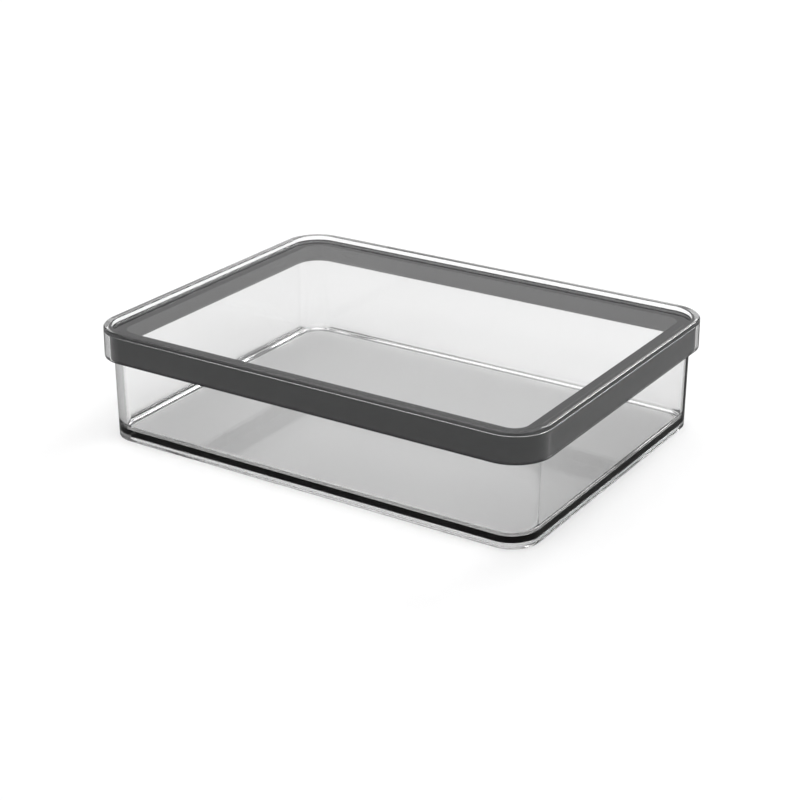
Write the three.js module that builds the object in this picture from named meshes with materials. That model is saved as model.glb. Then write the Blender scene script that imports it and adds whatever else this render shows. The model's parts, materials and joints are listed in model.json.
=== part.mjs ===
// Clear flat storage box: a moulded tub, a lift-off lid with a stacking rim, and the soft seal inside the lid.
// Millimetres, +Z up, origin on the table under the middle of the box, X along the long side.
import * as THREE from "three";

// Overall sizes
const boxLength = 200; // over the lid's skirt, along X
const boxWidth = 151; // over the lid's skirt, along Y
const boxHeight = 47.2; // table to the top of the stacking rim
const cornerRadius = 15.6; // lid's outer corner, seen from above
const leastCornerRadius = 0.5;

// Lid cover
const skirtWall = 2;
const skirtDepth = 8.85; // below the underside of the plate
const skirtDraft = 0.75; // degrees, wider at the bottom
const plateThickness = 1.6;
const rimHeight = 2; // stacking rim above the plate
const rimEdgeRadius = 1;
const rimInnerRadius = 0.5;
const lidFillet = 0.4;

// Seal ring
const sealFit = 0.3; // seal to lid
const bandThickness = 1.1; // outer band behind the skirt
const bandDrop = 0.25; // band below the skirt's lower edge
const webThickness = 1.4; // over the rim of the tub
const plugThickness = 1.9;
const plugDepth = 5.5;
const plugLead = 0.4; // plug narrows at its lower end
const lipReach = 0.8; // sealing lip beyond the plug's outer face
const lipHeight = 1.8;
const lipDrop = 1.2; // top of the lip below the web
const sealFillet = 0.4;

// Tub
const tubFit = 0.3; // seal to tub
const tubWall = 2.6;
const wallDraft = 0.35; // degrees, outside, narrower at the base
const innerDraft = 1.3; // degrees, inside
const floorThickness = 2.2;
const footHeight = 1.2; // foot ring below the floor
const footWidth = 5;
const floorFillet = 4.2;
const tubEdgeRadius = 0.5;
const stackClearance = 0.5; // foot of one box inside the rim of the next

// Facets
const cornerSteps = 10;
const filletSteps = 3;
const capReach = 4; // flat strip between a fillet and the cap that closes a plate

const slope = (degrees) => Math.tan(THREE.MathUtils.degToRad(degrees));

// Heights
const plateTop = boxHeight - rimHeight;
const plateBottom = plateTop - plateThickness;
const skirtBottom = plateBottom - skirtDepth;
const sealTop = plateBottom - sealFit;
const webBottom = sealTop - webThickness;
const plugBottom = sealTop - plugDepth;
const bandBottom = skirtBottom - bandDrop;
const tubTop = webBottom - tubFit;
const floorTop = footHeight + floorThickness;

// Insets, measured inwards from the lid's outer face at its lower edge
const rimSetback = slope(skirtDraft) * (boxHeight - skirtBottom);
const bandOuter = skirtWall + sealFit;
const bandInner = bandOuter + bandThickness;
const tubOuter = bandInner + tubFit;
const tubInner = tubOuter + tubWall;
const lipTip = tubInner + tubFit;
const plugOuter = lipTip + lipReach;
const plugInner = plugOuter + plugThickness;
const baseOuter = tubOuter + slope(wallDraft) * tubTop;
const floorEdge = tubInner + slope(innerDraft) * (tubTop - floorTop);
const footInner = baseOuter + footWidth;
const rimInner = baseOuter - stackClearance;

// Rounded rectangle at an inset, counter-clockwise from above, always with the same number of points
function outline(inset) {
  const radius = Math.max(cornerRadius - inset, leastCornerRadius);
  const x = boxLength / 2 - inset - radius;
  const y = boxWidth / 2 - inset - radius;
  const centres = [[x, y], [-x, y], [-x, -y], [x, -y]];
  return centres.flatMap(([cx, cy], corner) => {
    const start = (corner * Math.PI) / 2;
    const arc = new THREE.EllipseCurve(cx, cy, radius, radius, start, start + Math.PI / 2);
    return arc.getPoints(cornerSteps);
  });
}

// One corner of a section, rounded by an arc tangent to both of its sides and limited by their length
function roundCorner(before, corner, after, radius) {
  const inward = before.clone().sub(corner);
  const onward = after.clone().sub(corner);
  const half = inward.angleTo(onward) / 2;
  const room = 0.45 * Math.min(inward.length(), onward.length());
  const reach = Math.min(radius / Math.tan(half), room);
  const start = corner.clone().add(inward.setLength(reach));
  const end = corner.clone().add(onward.setLength(reach));
  const middle = start.clone().add(end).multiplyScalar(0.5);
  const toCentre = middle.sub(corner);
  const centre = corner.clone().add(toCentre.setLength(reach / Math.cos(half)));
  const from = start.clone().sub(centre);
  const turn = Math.PI - 2 * half;
  const side = Math.sign(from.cross(end.clone().sub(centre)));
  return Array.from({ length: filletSteps + 1 }, (_, step) =>
    from.clone().rotateAround(new THREE.Vector2(), (side * turn * step) / filletSteps).add(centre));
}

// Section from corners [inset, height, radius]; a corner without a radius stays sharp
function section(corners, closed) {
  const points = corners.map(([inset, height]) => new THREE.Vector2(inset, height));
  return corners.flatMap(([, , radius], i) => {
    const atEnd = !closed && (i === 0 || i === corners.length - 1);
    if (atEnd || !radius) return [points[i]];
    const before = points[(i - 1 + points.length) % points.length];
    const after = points[(i + 1) % points.length];
    return roundCorner(before, points[i], after, radius);
  });
}

// Solid swept round the box: a closed section makes a ring, an open one is capped at both ends
function sweep(corners, closed) {
  const rings = section(corners, closed).map((p) => ({ height: p.y, loop: outline(p.x) }));
  const count = rings[0].loop.length;
  const positions = rings.flatMap(({ height, loop }) => loop.flatMap((p) => [p.x, p.y, height]));
  const faces = [];
  const spans = closed ? rings.length : rings.length - 1;
  for (let i = 0; i < spans; i += 1) {
    const low = i * count;
    const high = ((i + 1) % rings.length) * count;
    for (let j = 0; j < count; j += 1) {
      const k = (j + 1) % count;
      faces.push(low + j, low + k, high + k, low + j, high + k, high + j);
    }
  }
  if (!closed) {
    const last = (rings.length - 1) * count;
    const under = rings.length * count;
    positions.push(0, 0, rings[0].height, 0, 0, rings.at(-1).height);
    for (let j = 0; j < count; j += 1) {
      const k = (j + 1) % count;
      faces.push(under, k, j, under + 1, last + j, last + k);
    }
  }
  const geometry = new THREE.BufferGeometry();
  geometry.setAttribute("position", new THREE.Float32BufferAttribute(positions, 3));
  geometry.setIndex(faces);
  geometry.computeVertexNormals();
  return geometry;
}

const clearPlastic = () => new THREE.MeshStandardMaterial({
  color: 0xeef2f4, roughness: 0.06, metalness: 0, transparent: true, opacity: 0.3,
});

// Tub: floor on a foot ring, drafted walls, rounded rim
function makeTub() {
  const corners = [
    [footInner + capReach, footHeight],
    [footInner, footHeight, tubEdgeRadius],
    [footInner, 0, tubEdgeRadius],
    [baseOuter, 0, tubEdgeRadius],
    [tubOuter, tubTop, tubEdgeRadius],
    [tubInner, tubTop, tubEdgeRadius],
    [floorEdge, floorTop, floorFillet],
    [floorEdge + floorFillet + capReach, floorTop],
  ];
  const tub = new THREE.Mesh(sweep(corners, false), clearPlastic());
  tub.name = "box_tub";
  return tub;
}

// Lid cover: plate, outer skirt and the raised rim that takes the foot of another box
function makeLidCover() {
  const corners = [
    [skirtWall + capReach, plateBottom],
    [skirtWall, plateBottom, lidFillet],
    [skirtWall, skirtBottom, lidFillet],
    [0, skirtBottom, lidFillet],
    [rimSetback, boxHeight, rimEdgeRadius],
    [rimInner, boxHeight, rimInnerRadius],
    [rimInner, plateTop, rimInnerRadius],
    [rimInner + capReach, plateTop],
  ];
  const cover = new THREE.Mesh(sweep(corners, false), clearPlastic());
  cover.name = "lid_cover";
  return cover;
}

// Seal ring: a channel over the rim of the tub, with a band outside it and a lipped plug inside it
function makeSealRing() {
  const lipTop = webBottom - lipDrop;
  const corners = [
    [bandInner, bandBottom, sealFillet],
    [bandOuter, bandBottom, sealFillet],
    [bandOuter, sealTop, sealFillet],
    [plugInner, sealTop, sealFillet],
    [plugInner, plugBottom, sealFillet],
    [plugOuter + plugLead, plugBottom, sealFillet],
    [plugOuter, lipTop - lipHeight],
    [lipTip, lipTop - lipHeight / 2, sealFillet],
    [plugOuter, lipTop],
    [plugOuter, webBottom, sealFillet],
    [bandInner, webBottom, sealFillet],
  ];
  const material = new THREE.MeshStandardMaterial({ color: 0x4c4d4e, roughness: 0.62, metalness: 0 });
  const ring = new THREE.Mesh(sweep(corners, true), material);
  ring.name = "seal_ring";
  return ring;
}

const lid = new THREE.Group();
lid.add(makeLidCover(), makeSealRing());

const storageBox = new THREE.Group();
storageBox.add(makeTub(), lid);

export default storageBox;
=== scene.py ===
import json
import math

import bpy
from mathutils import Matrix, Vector

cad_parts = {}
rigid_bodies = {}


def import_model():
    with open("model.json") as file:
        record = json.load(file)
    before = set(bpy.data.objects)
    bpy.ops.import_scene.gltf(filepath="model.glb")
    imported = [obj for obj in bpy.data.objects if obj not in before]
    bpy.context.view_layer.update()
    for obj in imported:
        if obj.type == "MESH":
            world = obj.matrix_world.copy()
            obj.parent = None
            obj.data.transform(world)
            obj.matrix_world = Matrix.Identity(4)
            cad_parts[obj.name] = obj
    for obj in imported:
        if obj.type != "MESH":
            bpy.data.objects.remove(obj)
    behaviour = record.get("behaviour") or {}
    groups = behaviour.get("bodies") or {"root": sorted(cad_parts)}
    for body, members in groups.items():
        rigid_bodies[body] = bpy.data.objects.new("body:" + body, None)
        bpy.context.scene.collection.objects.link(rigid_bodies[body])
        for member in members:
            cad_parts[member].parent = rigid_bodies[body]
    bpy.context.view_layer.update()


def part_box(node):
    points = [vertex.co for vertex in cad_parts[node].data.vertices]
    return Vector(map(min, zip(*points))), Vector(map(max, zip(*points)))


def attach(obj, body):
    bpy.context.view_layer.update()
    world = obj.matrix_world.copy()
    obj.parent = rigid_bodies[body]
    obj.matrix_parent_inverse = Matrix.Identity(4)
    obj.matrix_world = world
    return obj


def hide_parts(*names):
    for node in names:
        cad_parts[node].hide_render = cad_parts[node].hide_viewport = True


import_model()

mm = 0.001

# What all three pieces share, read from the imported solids
lidLow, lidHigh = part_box("lid_cover")
sealLow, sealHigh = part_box("seal_ring")
tubLow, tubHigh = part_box("box_tub")

outline = {
    "halfLength": lidHigh.x,
    "halfWidth": lidHigh.y,
    "cornerRadius": 15.6 * mm,  # lid's outer face, seen from above
    "cornerSegments": 28,
    "loopReach": 0.02 * mm,  # points this close to a place of the section lie on its loop
    "levelNormal": 0.9,  # faces are level where their normal's Z is past this
    "smoothAngle": 35,  # degrees
}


# How far a point lies in from the lid's outer outline
def insetOf(point):
    radius = outline["cornerRadius"]
    overX = abs(point.x) - outline["halfLength"] + radius
    overY = abs(point.y) - outline["halfWidth"] + radius
    outside = math.hypot(max(overX, 0), max(overY, 0))
    inside = min(max(overX, overY), 0)
    return radius - outside - inside


# The selected plane becomes a plate with round corners, facing up
def shapePlate(inset, height, radius):
    reach = (outline["halfLength"] - inset, outline["halfWidth"] - inset, 1)
    bpy.ops.transform.resize(value=reach)
    bpy.ops.transform.translate(value=(0, 0, height))
    bpy.ops.mesh.bevel(offset=radius, segments=outline["cornerSegments"], affect="VERTICES")
    bpy.ops.mesh.select_linked(delimit=set())
    bpy.ops.mesh.select_mode(type="FACE")


# A new piece that starts as such a plate, left in edit mode
def startPlate(name, inset, height):
    bpy.ops.object.select_all(action="DESELECT")
    bpy.ops.mesh.primitive_plane_add(size=2, location=(0, 0, 0))
    piece = bpy.context.active_object
    piece.name = name
    piece.data.name = name
    bpy.ops.object.mode_set(mode="EDIT")
    shapePlate(inset, height, outline["cornerRadius"] - inset)
    return piece


# The selected face goes in from its edge, and along its normal
def stepFace(inset, rise):
    if inset > 0:
        bpy.ops.mesh.inset(thickness=inset, depth=rise)
    else:
        bpy.ops.mesh.extrude_region_shrink_fatten(TRANSFORM_OT_shrink_fatten={"value": rise})


# A drafted block from a plate: the far face is narrower by the draft
def raiseBlock(draftInset, rise):
    stepFace(draftInset, rise)
    bpy.ops.mesh.select_mode(type="EDGE")
    bpy.ops.mesh.select_all(action="DESELECT")
    bpy.ops.mesh.select_non_manifold()
    bpy.ops.mesh.edge_face_add()
    bpy.ops.mesh.select_all(action="SELECT")
    bpy.ops.mesh.normals_make_consistent(inside=False)


# The picked end face of a block gives way to a hollow that has its own corner radius
def sinkHollow(inset, height, radius, draftInset, depth, fromBelow):
    bpy.ops.mesh.delete(type="ONLY_FACE")
    bpy.ops.mesh.select_mode(type="VERT")
    bpy.ops.mesh.primitive_plane_add(size=2, location=(0, 0, 0))
    shapePlate(inset, height, radius)
    if fromBelow:
        bpy.ops.mesh.flip_normals()
    stepFace(draftInset, -depth)
    bpy.ops.mesh.select_mode(type="EDGE")
    bpy.ops.mesh.select_all(action="DESELECT")
    bpy.ops.mesh.select_non_manifold()
    bpy.ops.mesh.bridge_edge_loops()


def pickFaces(piece, test):
    bpy.ops.mesh.select_mode(type="FACE")
    bpy.ops.mesh.select_all(action="DESELECT")
    bpy.ops.object.mode_set(mode="OBJECT")
    for face in piece.data.polygons:
        face.select = test(face)
    bpy.ops.object.mode_set(mode="EDIT")


# Test for level faces between two insets that look up (1) or down (-1)
def facing(way, low=-math.inf, high=math.inf):
    return lambda f: f.normal.z * way > outline["levelNormal"] and low < insetOf(f.center) < high


# Edge loops at given insets and heights of the section
def pickLoops(piece, places, reach=outline["loopReach"]):
    def onLoop(point):
        return any(abs(insetOf(point) - i) < reach and abs(point.z - z) < reach for i, z in places)

    bpy.ops.mesh.select_mode(type="EDGE")
    bpy.ops.mesh.select_all(action="DESELECT")
    bpy.ops.object.mode_set(mode="OBJECT")
    points = [v.co for v in piece.data.vertices]
    found = [onLoop(p) for p in points]
    for edge in piece.data.edges:
        a, b = edge.vertices
        level = abs(points[a].z - points[b].z) < reach
        along = abs(insetOf(points[a]) - insetOf(points[b])) < reach
        edge.select = found[a] and found[b] and level and along
    bpy.ops.object.mode_set(mode="EDIT")


def roundLoops(piece, places, radius, segments, reach=outline["loopReach"]):
    pickLoops(piece, places, reach)
    bpy.ops.mesh.bevel(offset=radius, segments=segments, affect="EDGES", clamp_overlap=False)


def finishPiece(piece):
    bpy.ops.mesh.select_all(action="SELECT")
    bpy.ops.mesh.normals_make_consistent(inside=False)
    bpy.ops.object.mode_set(mode="OBJECT")
    bpy.ops.object.shade_smooth_by_angle(angle=math.radians(outline["smoothAngle"]))
    bpy.ops.object.modifier_add(type="WEIGHTED_NORMAL")
    weighted = piece.modifiers[-1]
    weighted.keep_sharp = True
    bpy.ops.object.modifier_apply(modifier=weighted.name)
    print(piece.name, "faces:", len(piece.data.polygons))


# Tub: drafted walls, a raised floor and a foot ring
tub = {
    "rimInset": lidHigh.x - tubHigh.x,
    "height": tubHigh.z,
    "wall": 2.3 * mm,
    "draft": 0.35,  # degrees, outside
    "innerDraft": 0.8,
    "innerRadius": 10.1 * mm,  # corners inside, seen from above
    "floorTop": 3.3 * mm,
    "footHeight": 1.2 * mm,
    "footWidth": 3.8 * mm,
    "footRadius": 9.0 * mm,
    "footDraft": 0.05 * mm,
    "floorFillet": 3.8 * mm,
    "reach": 1.1 * mm,  # the hollows' corners lie this close to the outline's
    "edge": 0.5 * mm,
    "segments": 6,
}


def makeTub():
    height = tub["height"]
    slope = math.tan(math.radians(tub["draft"]))
    baseInset = tub["rimInset"] + slope * height
    wallTop = tub["rimInset"] + tub["wall"]
    innerSlope = math.tan(math.radians(tub["innerDraft"]))
    wallFoot = wallTop + innerSlope * (height - tub["floorTop"])
    footInner = baseInset + tub["footWidth"]
    piece = startPlate("clearTub", tub["rimInset"], height)
    bpy.ops.mesh.flip_normals()
    raiseBlock(slope * height, height)
    pickFaces(piece, facing(1))
    sinkHollow(wallTop, height, tub["innerRadius"], wallFoot - wallTop, height - tub["floorTop"], False)
    pickFaces(piece, facing(-1))
    sinkHollow(footInner, 0, tub["footRadius"], tub["footDraft"], tub["footHeight"], True)
    outside = [(tub["rimInset"], height), (baseInset, 0)]
    inside = [(wallTop, height), (footInner, 0), (footInner, tub["footHeight"])]
    roundLoops(piece, outside, tub["edge"], tub["segments"])
    roundLoops(piece, inside, tub["edge"], tub["segments"], tub["reach"])
    fillet = [(wallFoot, tub["floorTop"])]
    roundLoops(piece, fillet, tub["floorFillet"], 3 * tub["segments"], tub["reach"])
    finishPiece(piece)
    return piece


tubPiece = makeTub()
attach(tubPiece, "tub")
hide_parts("box_tub")


# Lid cover: plate, skirt outside the tub, raised stacking rim with a groove for the seal under it
lid = {
    "skirtBottom": lidLow.z,
    "height": lidHigh.z,
    "rimSetback": 0.166 * mm,  # draft of the outer face
    "skirtWall": 2.0 * mm,
    "plate": 1.6 * mm,
    "rimHeight": 2.0 * mm,
    "rimInner": 3.454 * mm,
    "rimEdge": 0.9 * mm,
    "rimInnerEdge": 0.5 * mm,
    "rimRoot": 0.5 * mm,
    "grooveInner": 2.9 * mm,
    "grooveTop": 45.0 * mm,
    "grooveEdge": 0.2 * mm,
    "edge": 0.08 * mm,
    "segments": 6,
}


def makeLid():
    top = lid["height"]
    plateTop = top - lid["rimHeight"]
    plateBottom = plateTop - lid["plate"]
    bottom = lid["skirtBottom"]
    piece = startPlate("clearLid", 0, bottom)
    raiseBlock(lid["rimSetback"], top - bottom)
    pickFaces(piece, facing(1))
    stepFace(lid["rimInner"] - lid["rimSetback"], 0)
    stepFace(0, -lid["rimHeight"])
    pickFaces(piece, facing(-1))
    stepFace(lid["skirtWall"], 0)
    stepFace(0, bottom - plateBottom)
    stepFace(lid["grooveInner"] - lid["skirtWall"], 0)
    pickFaces(piece, facing(-1, lid["skirtWall"], lid["grooveInner"]))
    stepFace(0, plateBottom - lid["grooveTop"])
    roundLoops(piece, [(lid["rimSetback"], top)], lid["rimEdge"], 2 * lid["segments"])
    roundLoops(piece, [(lid["rimInner"], plateTop)], lid["rimRoot"], lid["segments"])
    roundLoops(piece, [(lid["rimInner"], top)], lid["rimInnerEdge"], 2 * lid["segments"])
    roundLoops(piece, [(lid["skirtWall"], lid["grooveTop"])], lid["grooveEdge"], lid["segments"])
    roundLoops(piece, [(0, bottom)], lid["edge"], lid["segments"])
    finishPiece(piece)
    return piece


lidPiece = makeLid()
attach(lidPiece, "lid")
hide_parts("lid_cover")


# Seal ring: a band behind the skirt, a web over the tub's rim, a lipped plug inside the tub
seal = {
    "bond": 0.01 * mm,  # seated this far into the lid's plate and groove
    "webTop": lidHigh.z - lid["rimHeight"] - lid["plate"],
    "bandBottom": sealLow.z,
    "bandOuter": 2.3 * mm,
    "bandInner": 3.4 * mm,
    "web": 1.4 * mm,
    "plugOuter": 7.4 * mm,
    "plug": 1.9 * mm,
    "plugDepth": 5.5 * mm,
    "lipReach": 0.45 * mm,
    "lipHeight": 1.8 * mm,
    "lipDrop": 1.2 * mm,  # top of the lip below the web
    "lipTip": 0.25,  # height of the lip's tip, as a share of its root
    "edge": 0.4 * mm,
    "bandEdge": 0.1 * mm,
    "wallReach": 0.05 * mm,  # faces this close to an inset lie on that wall
    "segments": 4,
}


def makeSeal():
    tongueInner = lid["grooveInner"] + seal["bond"]
    tongueTop = lid["grooveTop"] + seal["bond"]
    webTop = seal["webTop"] + seal["bond"]
    webBottom = sealHigh.z - seal["web"]
    plugInner = seal["plugOuter"] + seal["plug"]
    plugBottom = sealHigh.z - seal["plugDepth"]
    lipTop = webBottom - seal["lipDrop"]
    lipBottom = lipTop - seal["lipHeight"]
    piece = startPlate("softSeal", seal["bandOuter"], webTop)
    widths = (
        tongueInner - seal["bandOuter"],
        seal["bandInner"] - tongueInner,
        seal["plugOuter"] - seal["bandInner"],
        seal["plug"],
    )
    for width in widths:
        stepFace(width, 0)
    bpy.ops.mesh.delete(type="FACE")
    bpy.ops.mesh.select_all(action="SELECT")
    drop = (0, 0, webBottom - webTop)
    bpy.ops.mesh.extrude_region_move(TRANSFORM_OT_translate={"value": drop})
    bpy.ops.mesh.select_all(action="SELECT")
    bpy.ops.mesh.normals_make_consistent(inside=False)

    def wall(inset, low, high):
        return lambda f: abs(insetOf(f.center) - inset) < seal["wallReach"] and low < f.center.z < high

    pickFaces(piece, facing(1, seal["bandOuter"], tongueInner))
    stepFace(0, tongueTop - webTop)
    pickFaces(piece, facing(-1, seal["bandOuter"], seal["bandInner"]))
    stepFace(0, webBottom - seal["bandBottom"])
    pickFaces(piece, facing(-1, seal["plugOuter"], plugInner))
    for drop in (seal["lipDrop"], seal["lipHeight"], lipBottom - plugBottom):
        stepFace(0, drop)
    pickFaces(piece, wall(seal["plugOuter"], lipBottom, lipTop))
    stepFace(0, seal["lipReach"])
    lipMiddle = (0, 0, (lipTop + lipBottom) / 2)
    bpy.ops.transform.resize(value=(1, 1, seal["lipTip"]), center_override=lipMiddle)
    plug = [(plugInner, plugBottom), (seal["plugOuter"], plugBottom)]
    roundLoops(piece, plug, seal["edge"], seal["segments"])
    band = [(seal["bandOuter"], seal["bandBottom"]), (seal["bandInner"], seal["bandBottom"])]
    roundLoops(piece, band, seal["bandEdge"], seal["segments"])
    finishPiece(piece)
    return piece


sealPiece = makeSeal()
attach(sealPiece, "lid")
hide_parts("seal_ring")


# Finishes
clear = {
    "pale": (0.999, 0.999, 0.999, 1),
    "deep": (0.995, 0.996, 0.997, 1),
    "ior": 1.57,
    "roughness": 0.0,
    "flow": {"Scale": 55, "Low": 0, "High": 1, "Strength": 0.3, "Distance": 0.006 * mm},
    "footShade": (0.4, 0.4, 0.4, 1),  # light that the thick foot of a wall lets through
    "footShadeHeight": 10 * mm,
}
# Share of light that each surface lets through to the table, on upright and on level faces
tubShade = {"side": (0.95, 0.95, 0.95, 1), "level": (0.38, 0.38, 0.38, 1)}
lidShade = {"side": (0.95, 0.95, 0.95, 1), "level": (0.9, 0.9, 0.9, 1)}
rubber = {
    "pale": (0.044, 0.044, 0.045, 1),
    "deep": (0.039, 0.039, 0.04, 1),
    "specular": 0.1,
    "mottle": {"Scale": 420, "Low": 0, "High": 1},
    "skin": {"Scale": 3600, "Low": 0.56, "High": 0.66, "Strength": 0.2, "Distance": 0.01 * mm},
}
grainNoise = {"detail": 2, "lowest": 0.3, "highest": 0.7}


# Slow flow marks or fine skin, by scale: a value between two ends and a matching normal
def makeGrain():
    group = bpy.data.node_groups.new("mouldGrain", "ShaderNodeTree")
    group.interface.new_socket("Vector", in_out="INPUT", socket_type="NodeSocketVector")
    for name in ("Scale", "Low", "High", "Strength", "Distance"):
        group.interface.new_socket(name, in_out="INPUT", socket_type="NodeSocketFloat")
    group.interface.new_socket("Value", in_out="OUTPUT", socket_type="NodeSocketFloat")
    group.interface.new_socket("Normal", in_out="OUTPUT", socket_type="NodeSocketVector")
    given = group.nodes.new("NodeGroupInput")
    result = group.nodes.new("NodeGroupOutput")
    noise = group.nodes.new("ShaderNodeTexNoise")
    noise.inputs["Detail"].default_value = grainNoise["detail"]
    spread = group.nodes.new("ShaderNodeMapRange")
    spread.inputs["From Min"].default_value = grainNoise["lowest"]
    spread.inputs["From Max"].default_value = grainNoise["highest"]
    bump = group.nodes.new("ShaderNodeBump")
    links = group.links
    links.new(given.outputs["Vector"], noise.inputs["Vector"])
    links.new(given.outputs["Scale"], noise.inputs["Scale"])
    links.new(noise.outputs["Fac"], spread.inputs["Value"])
    links.new(given.outputs["Low"], spread.inputs["To Min"])
    links.new(given.outputs["High"], spread.inputs["To Max"])
    links.new(given.outputs["Strength"], bump.inputs["Strength"])
    links.new(given.outputs["Distance"], bump.inputs["Distance"])
    links.new(noise.outputs["Fac"], bump.inputs["Height"])
    links.new(spread.outputs["Result"], result.inputs["Value"])
    links.new(bump.outputs["Normal"], result.inputs["Normal"])
    return group


grainGroup = makeGrain()


def addGrain(nodes, links, amounts):
    place = nodes.new("ShaderNodeTexCoord")
    grain = nodes.new("ShaderNodeGroup")
    grain.node_tree = grainGroup
    for name, amount in amounts.items():
        grain.inputs[name].default_value = amount
    links.new(place.outputs["Object"], grain.inputs["Vector"])
    return grain


# A mix of two colours, each of them plain or from another node
def addTone(nodes, links, factor, first, second):
    tone = nodes.new("ShaderNodeMix")
    tone.data_type = "RGBA"
    links.new(factor, tone.inputs["Factor"])
    for name, colour in (("A", first), ("B", second)):
        if isinstance(colour, bpy.types.NodeSocket):
            links.new(colour, tone.inputs[name])
        else:
            tone.inputs[name].default_value = colour
    return tone.outputs["Result"]


def newMaterial(name):
    material = bpy.data.materials.new(name)
    material.use_nodes = True
    nodes = material.node_tree.nodes
    return material, nodes, material.node_tree.links, nodes["Principled BSDF"]


# Light that goes straight through to the table: less on level faces and near the foot of the walls
def addPassing(nodes, links, shade):
    geometry = nodes.new("ShaderNodeNewGeometry")
    split = nodes.new("ShaderNodeSeparateXYZ")
    flatness = nodes.new("ShaderNodeMath")
    flatness.operation = "ABSOLUTE"
    links.new(geometry.outputs["Normal"], split.inputs["Vector"])
    links.new(split.outputs["Z"], flatness.inputs[0])
    place = nodes.new("ShaderNodeTexCoord")
    heights = nodes.new("ShaderNodeSeparateXYZ")
    aboveFoot = nodes.new("ShaderNodeMapRange")
    aboveFoot.inputs["From Max"].default_value = clear["footShadeHeight"]
    links.new(place.outputs["Object"], heights.inputs["Vector"])
    links.new(heights.outputs["Z"], aboveFoot.inputs["Value"])
    sideTint = addTone(nodes, links, aboveFoot.outputs["Result"], clear["footShade"], shade["side"])
    tint = addTone(nodes, links, flatness.outputs["Value"], sideTint, shade["level"])
    passing = nodes.new("ShaderNodeBsdfTransparent")
    links.new(tint, passing.inputs["Color"])
    return passing


def makeClear(name, shade):
    material, nodes, links, shader = newMaterial(name)
    flow = addGrain(nodes, links, clear["flow"])
    tone = addTone(nodes, links, flow.outputs["Value"], clear["pale"], clear["deep"])
    links.new(tone, shader.inputs["Base Color"])
    links.new(flow.outputs["Normal"], shader.inputs["Normal"])
    shader.inputs["Roughness"].default_value = clear["roughness"]
    shader.inputs["IOR"].default_value = clear["ior"]
    shader.inputs["Transmission Weight"].default_value = 1
    passing = addPassing(nodes, links, shade)
    path = nodes.new("ShaderNodeLightPath")
    mix = nodes.new("ShaderNodeMixShader")
    links.new(path.outputs["Is Shadow Ray"], mix.inputs[0])
    links.new(shader.outputs["BSDF"], mix.inputs[1])
    links.new(passing.outputs["BSDF"], mix.inputs[2])
    links.new(mix.outputs["Shader"], nodes["Material Output"].inputs["Surface"])
    return material


def makeRubber(name):
    material, nodes, links, shader = newMaterial(name)
    mottle = addGrain(nodes, links, rubber["mottle"])
    skin = addGrain(nodes, links, rubber["skin"])
    tone = addTone(nodes, links, mottle.outputs["Value"], rubber["pale"], rubber["deep"])
    links.new(tone, shader.inputs["Base Color"])
    links.new(skin.outputs["Value"], shader.inputs["Roughness"])
    links.new(skin.outputs["Normal"], shader.inputs["Normal"])
    shader.inputs["Specular IOR Level"].default_value = rubber["specular"]
    return material


tubPiece.data.materials.append(makeClear("tubClear", tubShade))
lidPiece.data.materials.append(makeClear("lidClear", lidShade))
sealPiece.data.materials.append(makeRubber("sealSoft"))
print("finishes:", len(bpy.data.materials))


# Camera at the photo's viewing angle
view = {
    "lens": 81.7,  # in millimetres, as the sensor is
    "sensor": 36,
    "clipStart": 10 * mm,
    "azimuth": 32.81,
    "elevation": 22.9,
    "target": Vector((-16.69, 23.3, 0)) * mm,
    "distance": 768.2 * mm,
}


def makeCamera():
    azimuth = math.radians(view["azimuth"])
    elevation = math.radians(view["elevation"])
    level = math.cos(elevation)
    back = Vector((level * math.sin(azimuth), -level * math.cos(azimuth), math.sin(elevation)))
    bpy.ops.object.camera_add(location=view["target"] + view["distance"] * back)
    camera = bpy.context.active_object
    camera.rotation_euler = (-back).to_track_quat("-Z", "Y").to_euler()
    camera.data.lens = view["lens"]
    camera.data.sensor_width = view["sensor"]
    camera.data.clip_start = view["clipStart"]
    bpy.context.scene.camera = camera
    print("camera distance:", view["distance"])


makeCamera()


# Studio: pale floor, grey room that is white at the horizon, soft lamps above and behind
studio = {
    "floorSize": 2.6,
    "floorDrop": 0.05 * mm,  # under the foot ring
    "floorColor": (0.95, 0.95, 0.95, 1),
    "paintedReflectionOutside": (0.17, 0.17, 0.17, 1),  # painted dark reflection: the floor's colour in reflections on the outside of the box
    "paintedReflectionInside": (0.48, 0.48, 0.48, 1),  # painted reflection: the floor's colour in reflections inside the clear walls
    "horizonLight": 1,
    "roomLight": 0.12,
    "whiteBelow": 0.05,  # height on the unit sphere up to which the room is white
    "roomAbove": 0.2,  # from here up it has the room's light
}
lamps = [
    {"name": "overhead", "place": (0.4, -0.4, 2.5), "aim": (0.4, -0.4, 0), "size": (5, 5), "watts": 120},
    {"name": "backdrop", "place": (-0.9, 1.39, 0.7), "aim": (0, 0, 0), "size": (1.6, 1.2), "watts": 2.7},
    {"name": "backRight", "place": (0.14, 1.24, 1.0), "aim": (0, 0, 0), "size": (0.5, 0.5), "watts": 6},
]
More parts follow.
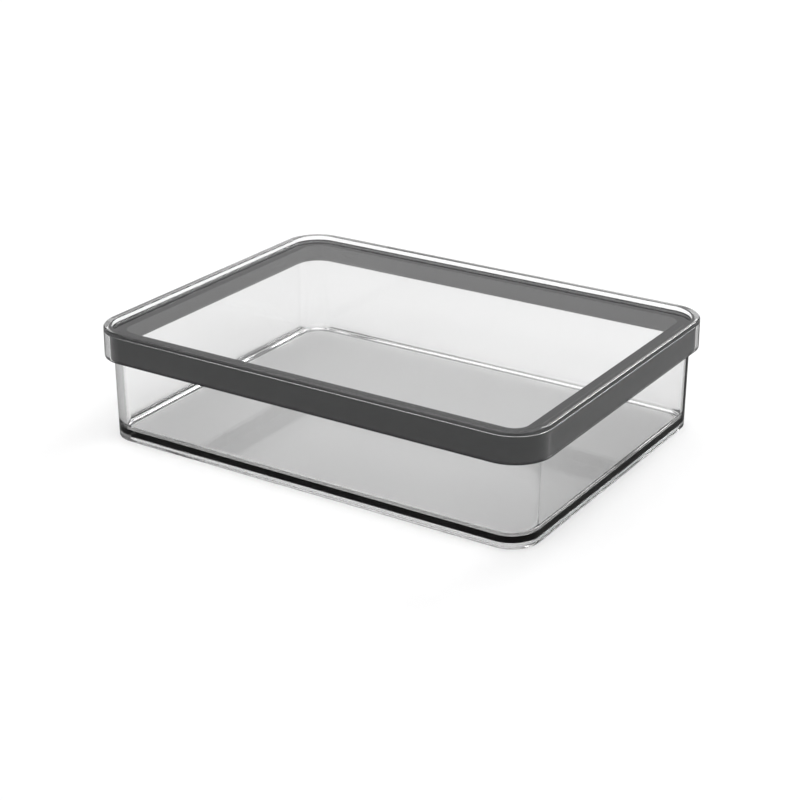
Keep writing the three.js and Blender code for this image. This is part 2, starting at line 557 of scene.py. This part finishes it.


# Painted reflection: the floor is darker where the box reflects it, as its colour drops for rays the box
# has reflected, in place of dark cards round the set
def makeFloor():
    bpy.ops.mesh.primitive_plane_add(size=studio["floorSize"], location=(0, 0, -studio["floorDrop"]))
    floor = bpy.context.active_object
    floor.name = "floor"
    material, nodes, links, shader = newMaterial("floorWhite")
    shader.inputs["Roughness"].default_value = 1
    shader.inputs["Specular IOR Level"].default_value = 0
    path = nodes.new("ShaderNodeLightPath")

    # 1 once a ray has had any bounce of that kind, and 0 before
    def anyBounce(depth):
        count = nodes.new("ShaderNodeMath")
        count.operation = "GREATER_THAN"
        count.inputs[1].default_value = 0.5
        links.new(path.outputs[depth], count.inputs[0])
        return count.outputs["Value"]

    # painted reflection: the floor's colour for reflected rays, darker than for the direct view
    reflected = addTone(
        nodes, links, anyBounce("Transmission Depth"), studio["paintedReflectionOutside"], studio["paintedReflectionInside"])
    seen = addTone(nodes, links, anyBounce("Glossy Depth"), studio["floorColor"], reflected)
    links.new(seen, shader.inputs["Base Color"])
    floor.data.materials.append(material)


def makeRoom():
    world = bpy.data.worlds.new("studioRoom")
    bpy.context.scene.world = world
    world.use_nodes = True
    nodes = world.node_tree.nodes
    links = world.node_tree.links
    background = nodes["Background"]
    background.inputs["Color"].default_value = (1, 1, 1, 1)
    towards = nodes.new("ShaderNodeTexCoord")
    split = nodes.new("ShaderNodeSeparateXYZ")
    fade = nodes.new("ShaderNodeMapRange")
    fade.inputs["From Min"].default_value = studio["whiteBelow"]
    fade.inputs["From Max"].default_value = studio["roomAbove"]
    fade.inputs["To Min"].default_value = studio["horizonLight"]
    fade.inputs["To Max"].default_value = studio["roomLight"]
    links.new(towards.outputs["Generated"], split.inputs["Vector"])
    links.new(split.outputs["Z"], fade.inputs["Value"])
    links.new(fade.outputs["Result"], background.inputs["Strength"])


def makeLamp(lamp):
    bpy.ops.object.light_add(type="AREA", location=lamp["place"])
    light = bpy.context.active_object
    light.name = lamp["name"]
    aim = Vector(lamp["aim"]) - Vector(lamp["place"])
    light.rotation_euler = aim.to_track_quat("-Z", "Y").to_euler()
    light.data.shape = "RECTANGLE"
    light.data.size, light.data.size_y = lamp["size"]
    light.data.energy = lamp["watts"]


makeFloor()
makeRoom()
for lamp in lamps:
    makeLamp(lamp)
print("lamps:", len(lamps))
bpy.context.scene.view_settings.view_transform = "Standard"
